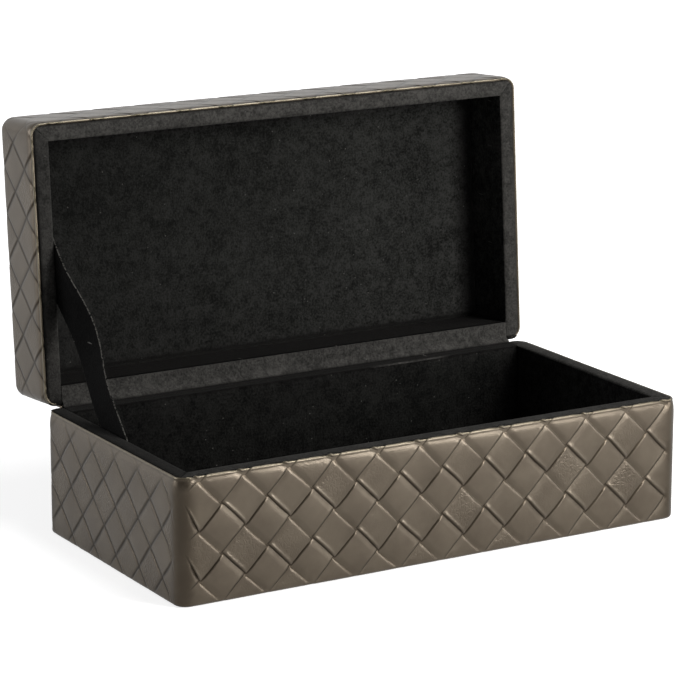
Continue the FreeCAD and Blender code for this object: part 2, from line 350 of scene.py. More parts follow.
def velvetMaterial(name):
    look = velvetLook
    dark, light, gloss, sheen, lint = velvets[name]
    material, tree, shader = newMaterial(name)
    link = tree.links.new
    where = objectPlace(tree)
    pile = noise(tree, where, *look["pile"])
    nap = math2(tree, "MULTIPLY", pile, look["pileShare"])
    for scale, share in look["patches"]:
        patch = math2(tree, "MULTIPLY", noise(tree, where, scale, look["patchDetail"]), share)
        nap = math2(tree, "ADD", nap, patch)
    colour = ramp(tree, nap, look["shadeEnds"], (dark, light))
    turned = addNode(tree, "Mapping", **look["lintPlace"])
    link(where, turned.inputs["Vector"])
    thread = addNode(tree, "TexVoronoi", Scale=look["lintScale"], Randomness=1)
    link(turned.outputs["Vector"], thread.inputs["Vector"])
    near = math2(tree, "LESS_THAN", thread.outputs["Distance"], look["lintWide"])
    chance = addNode(tree, "SeparateColor")
    link(thread.outputs["Color"], chance.inputs["Color"])
    rare = math2(tree, "GREATER_THAN", chance.outputs["Red"], 1 - lint)
    tufts = math2(tree, "GREATER_THAN", pile, look["edgeGlintFrom"])
    layers = (
        (painted(tree, "laid"), tuple(look["paintedShadeDark"] * part for part in dark)),
        (math2(tree, "MULTIPLY", painted(tree, "frayed"), tufts), look["edgeGlintColour"]),
        (math2(tree, "MULTIPLY", near, rare), look["lintColour"]),
    )
    for factor, over in layers:
        colour = mixColour(tree, factor, colour, over)
    link(colour, shader.inputs["Base Color"])
    shader.inputs["Roughness"].default_value = look["roughness"]
    shader.inputs["Specular IOR Level"].default_value = gloss
    shader.inputs["Sheen Weight"].default_value = sheen
    shader.inputs["Sheen Roughness"].default_value = look["sheenRoughness"]
    shader.inputs["Sheen Tint"].default_value = look["sheenTint"]
    link(bump(tree, pile, *look["pileBump"]), shader.inputs["Normal"])
    return material


plains = dict(                   # dark and light shade, scale of the fibres and roughness
    black_felt=((0.010, 0.010, 0.010), (0.030, 0.030, 0.029), 900, 0.95),
    fibreboard=((0.20, 0.14, 0.09), (0.32, 0.24, 0.16), 700, 0.9),
    grey_card=((0.28, 0.27, 0.25), (0.40, 0.39, 0.37), 900, 0.9),
)
fibreLook = dict(noise=(6, 0.7), shadeEnds=(0.35, 0.65), bump=(0.4, 0.4 * mm))


def plainMaterial(name):
    look = fibreLook
    dark, light, scale, roughness = plains[name]
    material, tree, shader = newMaterial(name)
    fibre = noise(tree, objectPlace(tree), scale, *look["noise"])
    colour = ramp(tree, fibre, look["shadeEnds"], (dark, light))
    tree.links.new(colour, shader.inputs["Base Color"])
    shader.inputs["Roughness"].default_value = roughness
    tree.links.new(bump(tree, fibre, *look["bump"]), shader.inputs["Normal"])
    return material


finishes = dict(
    leather=leatherMaterial(),
    lining_velvet=velvetMaterial("lining_velvet"),
    rim_velvet=velvetMaterial("rim_velvet"),
    pad_velvet=velvetMaterial("pad_velvet"),
    ribbon=velvetMaterial("ribbon_velvet"),
    felt=plainMaterial("black_felt"),
    board=plainMaterial("fibreboard"),
    card=plainMaterial("grey_card"),
)


def dress(obj, finish, *nodes):
    obj.data.materials.clear()
    obj.data.materials.append(finishes[finish])
    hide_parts(*nodes)
    return obj


def finishPiece(obj, half, finish, node, degrees=50):
    faceOutwards(obj)
    if half == "lid":                    # it is drawn shut, and goes to where the lid stands
        obj.data.transform(lidPlace)
    smooth(obj, degrees)
    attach(obj, half)
    return dress(obj, finish, node)


print("materials made")

# Woven leather: strips at 45 degrees, each over one and under the next
weave = dict(
    strip=18 * mm,               # from one strip's middle to the next
    lines=[0, 5.4, 6.4, 7.0, 7.45, 7.9, 8.25, 8.6, 9.0],  # mesh lines from a strip's middle, in mm
    lowSide=[0, 0, 0, 0.19, 0.40, 0.38, 0.05, -0.46, -0.74],  # heights there, falling strips: a raised lip
    highSide=[0, 0, 0.02, 0.03, 0.0, -0.13, -0.37, -0.62, -0.74],
    risingSide=[0, 0, 0, 0.02, 0.07, 0.04, -0.15, -0.43, -0.52],
    depth=(0.74 * mm, 0.52 * mm),  # how far a rising and a falling strip's ends dip
    tuck=5.4 * mm,               # where a strip's end starts to dip under its neighbour
    tuckCurve=1.5,
    grooveAt=8.62 * mm,          # painted shade line in the groove beside a strip
    grooveWide=0.38 * mm,
    grooveDark=(1.0, 0.95),      # beside rising and falling strips
    broadWide=0.95 * mm,         # the painted shade line in the grooves on the walls with a flatter pattern
    broadDark=1.0,
    flatter=0.9,                 # relief below which a wall has broad lines
    pit=0.10 * mm,               # extra depth where four strips meet
    pitWide=0.6 * mm,
    crown=0.2 * mm,
    tilt=0.2 * mm,
    flatLevel=-0.22 * mm,        # height where the pattern fades out
    sag=0.10 * mm,               # the board's and the glue's unevenness
    sagSize=80 * mm,
    grainyShare=(0.1, 0.6),      # of the rising and the falling strips
    grain=(0.55, 0.45),          # its strength, and how far that varies
    grainSteep=3,                # how soon it starts inside a strip's edges
    warp=0.12 * mm,              # how far the strips wander
    sway=((17, 90, 0), (29, -140, 1), (43, 60, 2)),  # turns round the box, slope and start of each wave
    swell=((19, -110, 3), (31, 120, 4), (47, 0, 5)),
    seamEase=12 * mm,            # nearer to the seam than this they wander less
    margin=4 * mm,               # of each wall, where the pattern shifts to meet the next
    fadeSteep=2.2,               # how the pattern fades at the corners
    fadeCurve=1.5,
    seed=11,
    luckRows=41,
    joinReach=0.01 * mm,         # merges the edges of neighbouring cells
    cornerCuts=(5, 9),           # mesh lines in half a corner, beside the seam, and in a whole one
)
cell = weave["strip"] * math.sqrt(2)


def weaveSheet(name, cellsAlong, cellsUp):  # a flat sheet whose mesh follows the strips
    strip = weave["strip"]
    half = np.array(weave["lines"]) * mm
    acrossTile = np.concatenate([-half[:0:-1], half])
    wanted = np.concatenate([acrossTile - strip / 2, acrossTile[1:] + strip / 2])
    cuts = len(wanted) - 1
    sheet = addGrid(name, cuts, cuts, 2 * strip)
    co = points(sheet)
    even = np.linspace(-strip, strip, cuts + 1)
    for axis in (0, 1):
        co[:, axis] = np.interp(co[:, axis], even, wanted)
    setPoints(sheet, co)
    sheet.rotation_euler.z = math.radians(45)
    bpy.ops.object.transform_apply(rotation=True)
    for outward in fourSides:
        trim(sheet, Vector(outward) * cell / 2, outward)
    for count, step in ((cellsAlong, (cell, 0, 0)), (cellsUp, (0, cell, 0))):
        applyModifier(
            sheet, "ARRAY", count=count, use_relative_offset=False, use_constant_offset=True,
            constant_offset_displace=step, use_merge_vertices=True, merge_threshold=weave["joinReach"],
        )
    return sheet


def weaveRelief(x, y, cellsAlong):  # height, both kinds of painted groove shade line, and grain on the flat sheet
    look = weave
    strip = look["strip"]
    rise = (x + y - cell / 2) / math.sqrt(2)
    fall = (x - y + cell / 2) / math.sqrt(2)
    row = np.round(rise / strip).astype(int)
    column = np.round(fall / strip).astype(int)
    a = rise - row * strip
    b = fall - column * strip
    falling = (row + column) % 2 == 0          # strips that run down to the right lie on top here
    along = np.where(falling, b, a)
    across = np.where(falling, a, b)
    luck = np.random.default_rng(look["seed"]).uniform(-1, 1, (2 * cellsAlong, look["luckRows"], 4))
    mine = luck[(row + column) % (2 * cellsAlong), (row - column) % look["luckRows"]]
    edge = strip / 2
    sides = ("lowSide", "highSide", "risingSide")
    low, high, rising = (np.interp(abs(across) / mm, look["lines"], look[key]) for key in sides)
    side = np.where(falling, np.where(across < 0, low, high), rising)
    depth, dark, grainyShare = (
        np.where(falling, look[key][1], look[key][0]) for key in ("depth", "grooveDark", "grainyShare")
    )
    end = np.clip((abs(along) - look["tuck"]) / (edge - look["tuck"]), 0, 1) ** look["tuckCurve"]
    middle = (1 - (along / edge) ** 2) * (1 - (across / edge) ** 2)
    lean = (mine[:, 0] * along + mine[:, 1] * across) / edge * middle
    height = look["crown"] * (middle - 1) + side * mm * (1 - end) - depth * end
    height += look["tilt"] * lean
    height -= look["pit"] * np.exp(-((edge - abs(a)) ** 2 + (edge - abs(b)) ** 2) / look["pitWide"] ** 2)
    # painted shade along the groove beside each strip
    groove = dark * np.exp(-(((abs(across) - look["grooveAt"]) / look["grooveWide"]) ** 2))
    grainy = mine[:, 2] < 2 * grainyShare - 1
    grain = grainy * (look["grain"][0] + look["grain"][1] * mine[:, 3])
    grain *= np.clip(middle * look["grainSteep"], 0, 1)
    toEdge = edge - np.maximum(abs(a), abs(b))
    broad = look["broadDark"] * np.exp(-((toEdge / look["broadWide"]) ** 2))
    return height, groove, broad, grain


def ringKnots():  # distance round the outline, corner centres and the way the wall faces
    corner = box["corner"]
    x = box["length"] / 2 - corner
    y = box["depth"] / 2 - corner
    arc = corner * quarter
    steps = [0, arc / 2, 2 * x, arc, 2 * y, arc, 2 * x, arc, 2 * y, arc / 2]
    centreX = [-x, -x, x, x, x, x, -x, -x, -x, -x]
    centreY = [-y, -y, -y, -y, y, y, y, y, -y, -y]
    facing = np.radians([225, 270, 270, 360, 360, 450, 450, 540, 540, 585])
    return np.cumsum(steps), np.array(centreX), np.array(centreY), facing


ringAt, ringX, ringY, ringFacing = ringKnots()
ringLength = ringAt[-1]


def onRing(around, inset):  # a point of the outline moved in by inset, and which way is out
    corner = box["corner"]
    deeper = np.clip(inset - corner, 0, None)
    facing = np.interp(around, ringAt, ringFacing)
    x = np.interp(around, ringAt, ringX)
    y = np.interp(around, ringAt, ringY)
    x = x - np.sign(x) * np.minimum(abs(x), deeper * abs(x) / abs(ringX[0]))
    y = y - np.sign(y) * np.minimum(abs(y), deeper * abs(y) / abs(ringY[0]))
    out = np.clip(corner - inset, 0, None)
    return x + out * np.cos(facing), y + out * np.sin(facing), facing


def wrap(sheet, knots):  # bends a flat sheet round the box: knots give its section from bottom to top
    level, inset, height, radius, tilt = np.array(knots).T
    around, up, lift = points(sheet).T
    lean = np.radians(np.interp(up, level, tilt))
    bend = np.interp(up, level, radius)
    deep = np.interp(up, level, inset) - bend * np.cos(lean)
    z = np.interp(up, level, height) + bend * np.sin(lean)
    x, y, facing = onRing(around, deep)
    x += lift * np.cos(lean) * np.cos(facing)
    y += lift * np.cos(lean) * np.sin(facing)
    setPoints(sheet, np.stack([x, y, z + lift * np.sin(lean)], 1))


def addRows(sheet, top, steps):  # draws the top or bottom edge out by flat rows, and tells their levels
    levels = []
    for step in steps:
        level = points(sheet)[:, 1]
        edge = level.max() if top else level.min()
        drawn = step if top else -step
        selectPoints(sheet, abs(level - edge) < 5 * tiny)
        bpy.ops.mesh.extrude_edges_move(TRANSFORM_OT_translate={"value": (0, drawn, 0)})
        bpy.ops.object.mode_set(mode="OBJECT")
        co = points(sheet)
        co[len(level):, 1] = edge + drawn
        co[len(level):, 2] = 0
        setPoints(sheet, co)
        levels.append(edge + drawn)
    return levels


def cutLines(sheet, levels):  # more mesh lines, so that rounded edges and corners come out smooth
    pick(sheet)
    bpy.ops.object.mode_set(mode="EDIT")
    for level in levels:
        bpy.ops.mesh.select_all(action="SELECT")
        bpy.ops.mesh.bisect(plane_co=(0, level, 0), plane_no=(0, 1, 0), threshold=tiny)
    few, many = weave["cornerCuts"]
    for turn, count in zip((0, 2, 4, 6, 8), (few, many, many, many, few)):
        for around in np.linspace(ringAt[turn], ringAt[turn + 1], count):
            if 0 < around < ringLength:
                bpy.ops.mesh.select_all(action="SELECT")
                bpy.ops.mesh.bisect(plane_co=(around, 0, 0), plane_no=(1, 0, 0), threshold=tiny)
    bpy.ops.object.mode_set(mode="OBJECT")


rimEdge = dict(
    velvetStart=2.2 * mm,        # the rim's velvet starts this far in
    velvetPress=0.75 * mm,
    ease=0.7 * mm,
    hingePress=1.1 * mm,         # under the hinge cloth
    hingeEnds=3 * mm,
    hingeTurn=(0.3, 0.5),        # shares of the rounded edge where that starts, and over which it grows
    rollCurve=2.2,
    beadAt=2.0 * mm,             # a fine ridge along the turned edge, and the dip outside it
    beadWide=0.55 * mm,
    dipAt=0.4 * mm,
    dipWide=0.5 * mm,
    cuts=[-2.8, -1.4, -0.3, 0.3, 0.8, 1.4, 2.0, 2.5, 2.9, 3.34],  # mesh lines round the edge, in mm
    footCuts=[0, 0.8, 1.6, 2.4],
)


def rimDip(past):  # past: how far the leather has turned over the rim
    return np.exp(-(((past - rimEdge["dipAt"]) / rimEdge["dipWide"]) ** 2))


def rimRidge(past):
    return np.exp(-(((past - rimEdge["beadAt"]) / rimEdge["beadWide"]) ** 2))


def rimPress(around, past, weaveLook):  # lower where the rim's velvet and the hinge cloth lie over it
    look = rimEdge
    arc = quarter * box["rimRound"]
    velvet = np.clip((past - arc - look["velvetStart"] + box["rimRound"]) / look["ease"] + 1, 0, 1)
    fromEnds = np.minimum(around - ringAt[5], ringAt[6] - around)
    start, over = look["hingeTurn"]
    hinged = np.clip(fromEnds / look["hingeEnds"], 0, 1)
    hinged *= np.clip((past - start * arc) / (over * arc), 0, 1)
    roll = np.clip(past / weaveLook["roll"] + 1, 0, 1) ** look["rollCurve"] * np.clip(1 - past / arc, 0, 1)
    press = np.maximum(look["velvetPress"] * velvet, look["hingePress"] * hinged)
    press += weaveLook["rollDrop"] * roll
    return press + weaveLook["bead"] * (rimDip(past) - rimRidge(past)) * (1 - hinged)


def cornerFade(around, strength, reach):  # 1 on the walls, less where a corner turns
    share = np.ones_like(around)
    middles = [0, *(ringAt[2::2] + ringAt[3::2])[:3] / 2, ringLength]
    for middle, amount, size in zip(middles, strength, np.ones(5) * reach):
        near = np.clip(1 - abs(around - middle) / size, 0, 1)
        share *= 1 - amount * np.clip(near * weave["fadeSteep"], 0, 1) ** weave["fadeCurve"]
    return share


def wallShift(look):
    # how far the pattern sits along and up each wall, with the change taken up at the corners
    margin = weave["margin"]
    walls = [(ringAt[i] + margin, ringAt[i + 1] - margin) for i in (1, 3, 5, 7)]
    around, lattice, rise = [0], [-cell / 2], [look["seamRise"]]
    for (start, finish), offset, (low, high) in zip(walls, look["offsets"], look["rises"]):
        around += [start, finish]
        lattice += [start + offset, finish + offset]
        rise += [low, high]
    around.append(ringLength)
    lattice.append((look["cellsAlong"] - 0.5) * cell)
    rise.append(look["seamRise"])
    return np.array(around), np.array(lattice), np.array(rise)


def ripple(turns, up, parts):
    return sum(np.sin(count * turns + slope * up + start) for count, slope, start in parts)


def layWeave(sheet, look, raised, pastRim, levels):
    # moves the flat weave to its place on each wall, and presses its pattern in
    co = points(sheet)
    height, groove, broad, grain = weaveRelief(co[:, 0], co[:, 1], look["cellsAlong"])
    shiftAround, shiftLattice, shiftRise = wallShift(look)
    around = np.interp(co[:, 0], shiftLattice, shiftAround)
    up = co[:, 1] + np.interp(around, shiftAround, shiftRise)
    turns = 2 * math.pi * around / ringLength
    sway = ripple(turns, up, weave["sway"])
    swell = ripple(turns, up, weave["swell"])
    fromSeam = np.clip(np.minimum(around, ringLength - around) / weave["seamEase"], 0, 1)
    around = around + weave["warp"] * sway * fromSeam
    up = up + weave["warp"] * swell
    share = raised(around, up)
    relief = np.interp(around, ringAt[2:4], look["relief"])
    groove = np.where(relief < weave["flatter"], broad, groove)
    raisedShare = share * relief
    lift = raisedShare * height + (1 - raisedShare) * weave["flatLevel"]
    lift += weave["sag"] * waves(around, up, weave["sagSize"], weave["seed"]) * fromSeam
    setPoints(sheet, np.stack([around, up, lift], 1))
    # painted shade in a band along each upright corner
    worn = look["cornerShade"] * (1 - cornerFade(around, np.ones(5), look["shadeReach"])) ** 2
    paint(sheet, groove=np.maximum(groove * share, worn), grain=grain * share)
    cutLines(sheet, levels)
    co = points(sheet)
    past = pastRim(co[:, 1])
    co[:, 2] -= rimPress(co[:, 0], past, look)
    setPoints(sheet, co)
    # painted shade in the dip outside the turned edge, and a painted highlight along its ridge
    groove = np.empty(len(co), np.float32)
    sheet.data.attributes["groove"].data.foreach_get("value", groove)
    groove = np.maximum(groove, look["edgeShade"] * rimDip(past))
    paint(sheet, groove=groove, edge=look["edgeHighlight"] * rimRidge(past))


baseWeave = dict(
    cellsAlong=35,
    cellsUp=4,
    offsets=[-10.04 * mm, -12.8 * mm, -15.6 * mm, -18.35 * mm],  # front, right, back, left
    rises=[(-12.74 * mm, -12.74 * mm), (-11 * mm, -11 * mm), (-9 * mm, -9 * mm), (-7 * mm, -0.6 * mm)],
    seamRise=-6.7 * mm,
    cornerFades=[1, 1, 0.5, 0.6, 1],
    fadeReach=np.array([6.5, 8.5, 8.5, 8.5, 8.5]) * mm,
    cornerShade=0.45,
    shadeReach=11 * mm,
    relief=(1, 0.45),            # of the pattern on the front, and on the other walls
    roll=6 * mm,                 # the wall starts to lean in this far below the edge
    rollDrop=0.8 * mm,
    bead=0.06 * mm,
    edgeShade=0,
    edgeHighlight=0.3,
    calm=0.9,                    # how far the pattern dies down at the top of the other walls
    calmFrom=56 * mm,
    calmOver=9 * mm,
    wallEase=10 * mm,            # the change from wall to wall
    footEase=(1.6 * mm, 3 * mm),
    footLeast=0.1,
    turnEase=1.2 * mm,
    topRows=(1.2 * mm, 2 * mm, 20 * mm),  # the leather's own edge, its underside and its inner face
    bottomRows=(10 * mm, 1.2 * mm, 11 * mm, 10 * mm),
    innerReach=20 * mm,          # of the inner rows, up from the foot and down from the rim
    seamReach=0.01 * mm,
)


def makeBaseLeather():
    look = baseWeave
    sheet = weaveSheet("baseLeather", look["cellsAlong"], look["cellsUp"])
    foot = box["foot"]
    low = foot + box["footRound"]
    high = box["rim"] - box["rimRound"]
    bottom = low - quarter * box["footRound"]
    top = high + quarter * box["rimRound"] + box["turnIn"] - box["rimRound"]

    def raised(around, up):
        share = cornerFade(around, look["cornerFades"], look["fadeReach"])
        pastFront = np.clip((around - ringAt[2]) / look["wallEase"], 0, 1)
        share *= 1 - pastFront * look["calm"] * np.clip((up - look["calmFrom"]) / look["calmOver"], 0, 1)
        below, over = look["footEase"]
        share *= np.clip((up - low + below) / over, look["footLeast"], 1)
        return share * np.clip((top - up) / look["turnEase"], 0, 1)

    levels = [high + past * mm for past in rimEdge["cuts"]]
    levels += [low - past * mm for past in rimEdge["footCuts"]]
    layWeave(sheet, look, raised, lambda up: up - high, levels)
    trim(sheet, (0, top, 0), (0, 1, 0))
    trim(sheet, (0, bottom, 0), (0, -1, 0))
    inside = box["leather"]
    tops = addRows(sheet, True, look["topRows"])
    bottoms = addRows(sheet, False, look["bottomRows"])
    knots = [
        (bottoms[3], inside, foot + look["innerReach"], 0, 0),
        (bottoms[2], inside, foot + inside, 0, 0),
        (bottoms[1], box["turnUnder"], foot + inside, 0, 0),
        (bottoms[0], box["turnUnder"], low, box["footRound"], -90),
        (bottom, box["footRound"], low, box["footRound"], -90),
        (low, box["footRound"], low, box["footRound"], 0),
        (high, box["rimRound"], high, box["rimRound"], 0),
        (high + quarter * box["rimRound"], box["rimRound"], high, box["rimRound"], 90),
        (top, box["turnIn"], high, box["rimRound"], 90),
        (tops[0], box["turnIn"], box["rim"] - inside, 0, 90),
        (tops[1], inside, box["rim"] - inside, 0, 90),
        (tops[2], inside, box["rim"] - look["innerReach"], 0, 90),
    ]
    wrap(sheet, knots)
    mergeDoubles(sheet, look["seamReach"])
    bridgeOpenEdges(sheet)
    return finishPiece(sheet, "base", "leather", "base_leather_cover")


lidWeave = dict(
    cellsAlong=35,
    cellsUp=3,
    offsets=[-12 * mm, -12 * mm, -11.8 * mm, -11.66 * mm],
    rises=[(-3 * mm, -3 * mm)] * 4,
    seamRise=-3 * mm,
    cornerFades=[0.6, 0.6, 0.5, 0.5, 0.6],
    fadeReach=10 * mm,
    cornerShade=0.15,
    shadeReach=10 * mm,
    relief=(0.24, 0.24),         # the lid's pattern is shallower
    roll=4.2 * mm,
    rollDrop=0.55 * mm,
    bead=0.25 * mm,
    edgeShade=0.6,
    edgeHighlight=0.4,
    calm=0.8,                    # how far the pattern dies down at the right wall's rim
    calmFrom=10 * mm,
    calmOver=8 * mm,
    wallEase=10 * mm,
    turnEase=1.2 * mm,
    topEase=5 * mm,              # the pattern fades to topLeast along the lid's top edge
    topLeast=0.2,
    topFlat=0.05 * mm,           # and is flat on its very line
    topCuts=[0, 2.4, 4.7, 7.1],
    topCells=(12, 6),
    topInset=6.5 * mm,
    topSheetEase=4 * mm,
    topWander=(60 * mm, 3),      # size and strength of the top strips' wandering
    topSeeds=(3, 4),
    rows=(1.2 * mm, 2 * mm, 38 * mm),
    seamReach=0.03 * mm,
    ringSlack=0.1 * mm,
)


def makeLidTop():  # the top's own sheet, trimmed to the flat part
    look = lidWeave
    cells = look["topCells"]
    sheet = weaveSheet("lidTopSheet", *cells)
    co = points(sheet)
    height, _, groove, grain = weaveRelief(co[:, 0], co[:, 1], cells[0])
    across = co[:, 0] - (cells[0] - 1) / 2 * cell
    along = co[:, 1] - (cells[1] - 1) / 2 * cell
    size, times = look["topWander"]
    across += weave["warp"] * waves(across, along, size, look["topSeeds"][0]) * times
    along += weave["warp"] * waves(across, along, size, look["topSeeds"][1]) * times
    halfX = box["length"] / 2 - look["topInset"]
    halfY = box["depth"] / 2 - look["topInset"]
    fromEdge = np.minimum(halfX - abs(across), halfY - abs(along))
    least = look["topLeast"]
    share = np.clip(least + fromEdge / look["topSheetEase"], least, 1) * (fromEdge > look["topFlat"])
    raisedShare = share * look["relief"][0]
    lift = raisedShare * height + (1 - raisedShare) * weave["flatLevel"]
    setPoints(sheet, np.stack([across, along, lift + box["lidTop"]], 1))
    paint(sheet, groove=groove * share, grain=grain * share)
    for outward, reach in zip(fourSides, (halfX, halfX, halfY, halfY)):
        trim(sheet, Vector(outward) * reach, outward)
    return sheet


def makeLidLeather():
    look = lidWeave
    band = weaveSheet("lidLeather", look["cellsAlong"], look["cellsUp"])
    low = box["lidRim"] + box["rimRound"]
    high = box["lidTop"] - box["lidRound"]
    bottom = low - quarter * box["rimRound"] - (box["turnIn"] - box["rimRound"])
    top = high + quarter * box["lidRound"]

    def raised(around, up):
        share = cornerFade(around, look["cornerFades"], look["fadeReach"])
        share *= np.clip((up - bottom) / look["turnEase"], 0, 1)
        onRight = np.clip((around - ringAt[2]) / look["wallEase"], 0, 1)
        onRight *= np.clip((ringAt[5] - around) / look["wallEase"], 0, 1)
        share *= 1 - onRight * look["calm"] * np.clip((look["calmFrom"] - up) / look["calmOver"], 0, 1)
        least = look["topLeast"]
        share *= np.clip(least + (top - up) / look["topEase"], least, 1)
        return share * (up < top - look["topFlat"])

    levels = [low - past * mm for past in rimEdge["cuts"]]
    levels += [high + past * mm for past in look["topCuts"]]
    layWeave(band, look, raised, lambda up: low - up, levels)
    trim(band, (0, top, 0), (0, 1, 0))
    trim(band, (0, bottom, 0), (0, -1, 0))
    inside = box["leather"]
    rows = addRows(band, False, look["rows"])
    knots = [
        (rows[2], box["lidRound"], box["lidTop"] - inside, 0, 0),
        (rows[1], inside, box["lidRim"] + inside, 0, 0),
        (rows[0], box["turnIn"], box["lidRim"] + inside, 0, 0),
        (bottom, box["turnIn"], low, box["rimRound"], -90),
        (low - quarter * box["rimRound"], box["rimRound"], low, box["rimRound"], -90),
        (low, box["rimRound"], low, box["rimRound"], 0),
        (high, box["lidRound"], high, box["lidRound"], 0),
        (top, box["lidRound"], high, box["lidRound"], 90),
    ]
    wrap(band, knots)
    mergeDoubles(band, look["seamReach"])
    co = points(band)
    ring = abs(co[:, 2] - box["lidTop"] + inside) < tiny    # the inner face's edge, closed by one face
    for axis, size in ((0, box["length"]), (1, box["depth"])):
        ring &= abs(co[:, axis]) < size / 2 - box["lidRound"] + look["ringSlack"]
    selectPoints(band, ring)
    bpy.ops.mesh.edge_face_add()
    bpy.ops.object.mode_set(mode="OBJECT")
    pick(makeLidTop())
    band.select_set(True)
    bpy.context.view_layer.objects.active = band
    bpy.ops.object.join()
    bridgeOpenEdges(band)
    band.data.transform(Matrix.Translation((0, -toMiddle["lid"], 0)))
    return finishPiece(band, "lid", "leather", "lid_leather_cover")


for leather in (makeBaseLeather(), makeLidLeather()):
    print(leather.name, len(leather.data.polygons), "faces")

# Velvet pieces: each fills the space of its node, with soft edges and a slight crown on the face that shows
velvetKinds = dict(
    liner=dict(spacing=3 * mm, edge=0.8 * mm, crown=0, swell=0.12 * mm, finish="lining_velvet"),
    rim=dict(
        spacing=0.9 * mm, edge=2.4 * mm, edgeDrop=0.45 * mm, crown=0.3 * mm, swell=0.08 * mm,
        finish="rim_velvet", fill=0.4,
    ),
    floor_pad=dict(
        spacing=2.5 * mm, edge=1.6 * mm, crown=0.3 * mm, swell=0.2 * mm, flare=1.15 * mm,
        finish="lining_velvet", fill=0.5,
    ),
    panel_pad=dict(
        spacing=2.5 * mm, edge=1.4 * mm, crown=0.5 * mm, swell=0.2 * mm, flare=1.15 * mm,
        finish="pad_velvet", fill=0.6,
    ),
)
slabMesh = dict(
    fewestCuts=6,
    crowding=4,                  # mesh lines crowd towards the edges, less so on a fine mesh
    mostCrowded=0.9,
    swellSize=45 * mm,
    swellEase=3 * mm,            # no swell along the edges
)
rimStrip = dict(inner=10.5 * mm, outer=3.1 * mm)  # a rim strip's edges, from the outside of the box
paintedShadeOf = dict(                  # painted shade on each piece, where less light falls on it
    base_front_rim=0.5, base_left_rim=0.85, base_right_rim=0.25, lid_front_rim=0.2, lid_left_rim=0.5,
    lid_right_rim=0.3, lid_back_liner=1.0, lid_front_liner=0.85, lid_left_liner=0.85, base_front_liner=0.7,
    base_back_liner=0.75, base_left_liner=0.75, base_right_liner=0.55, base_floor_pad=0.78,
)
paintedShadeLook = dict(
    panel=0.56,                  # painted shade on the lid's panel, darkest at its left
    panelEnd=0.8,                # painted shadow of the lid's right wall along its right end
    panelReach=18 * mm,
    gapReach=1.2 * mm,           # painted shade in the gap round a pad
    rimShade=0.9,                # painted shadow on a rim strip beside the leather's edge
    rimReach=dict(lid_left_rim=3.6 * mm),
    rimReachElse=1.2 * mm,
)


def softSlab(name, low, high, axis, sign, kind, seed):
    # a closed slab whose face along axis, towards sign, is rounded at its edges and gently uneven
    look = slabMesh
    flat = [i for i in range(3) if i != axis]
    span = (high - low)[flat]
    cuts = [max(look["fewestCuts"], int(round(length / kind["spacing"]))) for length in span]
    slab = addGrid(name, *cuts)
    co = points(slab)
    place = []
    for i in (0, 1):
        crowd = min(look["mostCrowded"], look["crowding"] / cuts[i])
        t = np.clip(co[:, i], -1, 1)
        place.append((1 - crowd) * t + crowd * np.sin(t * quarter))
    fromEdge = np.minimum((1 - abs(place[0])) * span[0], (1 - abs(place[1])) * span[1]) / 2
    r = kind["edge"]
    short = np.clip(r - fromEdge, 0, r)
    drop = kind.get("edgeDrop", r) * (1 - np.sqrt(1 - (short / r) ** 2))
    crown = kind["crown"] * (1 - place[0] ** 2) ** 0.5 * (1 - place[1] ** 2) ** 0.5
    across = place[0] * span[0] / 2
    along = place[1] * span[1] / 2
    swell = kind["swell"] * waves(across, along, look["swellSize"], seed)
    swell *= np.clip(fromEdge / look["swellEase"], 0, 1)
    applyModifier(slab, "SOLIDIFY", thickness=kind["spacing"], offset=-1)  # both layers are placed below
    count = len(co)
    shaped = np.zeros((2 * count, 3))
    middle = (low + high) / 2
    for i, axisIn in enumerate(flat):
        shaped[:count, axisIn] = middle[axisIn] + (across, along)[i]
    shaped[count:] = shaped[:count]
    for i, axisIn in enumerate(flat):     # a wrapped pad's back is a little larger than its face
        shaped[count:, axisIn] += co[:, i] * kind.get("flare", 0)
    face, back = (high, low) if sign > 0 else (low, high)
    shaped[:count, axis] = face[axis] + sign * (crown + swell - drop)
    shaped[count:, axis] = back[axis]
    setPoints(slab, shaped)
    return slab


def roundOutline(co, reachX, reachY, radius):  # turns the strips' square outer corners into round ones
    dx = abs(co[:, 0]) - (reachX - radius)
    dy = abs(co[:, 1]) - (reachY - radius)
    inCorner = (dx > 0) & (dy > 0)
    far = np.hypot(dx, dy)
    share = np.where(inCorner, np.maximum(dx, dy) / np.maximum(far, 1e-9), 1)
    x = np.where(inCorner, np.sign(co[:, 0]) * (reachX - radius + dx * share), co[:, 0])
    y = np.where(inCorner, np.sign(co[:, 1]) * (reachY - radius + dy * share), co[:, 1])
    return np.stack([x, y, co[:, 2]], 1)


def shapeRim(slab, half, atFront):  # spreads a strip over the leather's edge and mitres its front corners
    co = points(slab)
    co[:, 1] += toMiddle[half]
    innerX, innerY = (size / 2 - rimStrip["inner"] for size in (box["length"], box["depth"]))
    wide = rimStrip["inner"] - rimEdge["velvetStart"]
    stretch = wide / (rimStrip["inner"] - rimStrip["outer"])
    for axis, inner in ((0, innerX), (1, innerY)):
        past = np.clip(abs(co[:, axis]) - inner, 0, None)
        co[:, axis] += np.sign(co[:, axis]) * past * (stretch - 1)
    if atFront:
        deep = np.clip(abs(co[:, 1]) - innerY, 0, wide)
        co[:, 0] *= (innerX + deep) / (innerX + wide)
    else:
        deep = np.clip(abs(co[:, 0]) - innerX, 0, wide)
        co[:, 1] = np.where(co[:, 1] < 0, co[:, 1] * (innerY + deep) / innerY, co[:, 1])
    reach = rimEdge["velvetStart"]
    co = roundOutline(co, box["length"] / 2 - reach, box["depth"] / 2 - reach, box["corner"] - reach)
    co[:, 1] -= toMiddle[half]
    setPoints(slab, co)


